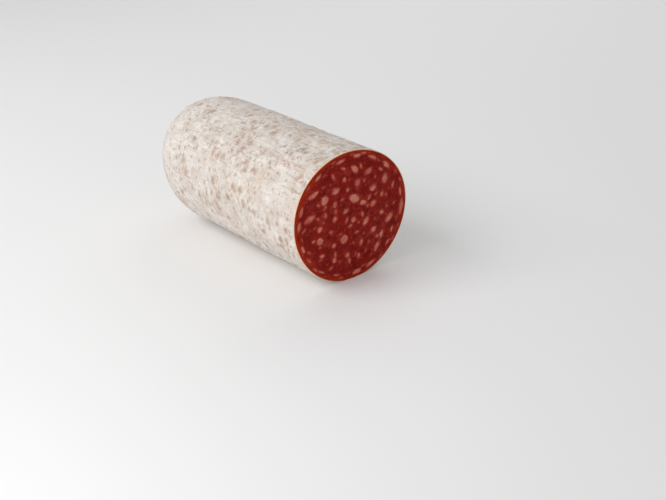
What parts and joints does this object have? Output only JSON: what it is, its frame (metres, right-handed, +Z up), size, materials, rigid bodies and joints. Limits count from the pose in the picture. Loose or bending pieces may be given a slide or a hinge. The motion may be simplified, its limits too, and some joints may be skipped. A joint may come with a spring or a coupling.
{
  "type": "cured sausage",
  "caption": "Half of a cured sausage in a white mould-ripened casing, lying on its side with one end cut across to show the marbled meat.",
  "frame": {"origin": "on the surface that the sausage rests on, under the middle of its bounding box", "axes": "+X along the sausage towards the cut face, +Z up"},
  "size_m": [0.1276, 0.0652, 0.0651],
  "materials": {
    "casing": "matt white mould bloom, mottled with tan where the casing shows through",
    "cut_meat": "moist, softly glossy cut lean meat, darker and more orange towards the rim",
    "fat": "satin pinkish fat, cut flush with the meat"
  },
  "bodies": {
    "root": {"sausage": "casing"}
  },
  "joints": []
}
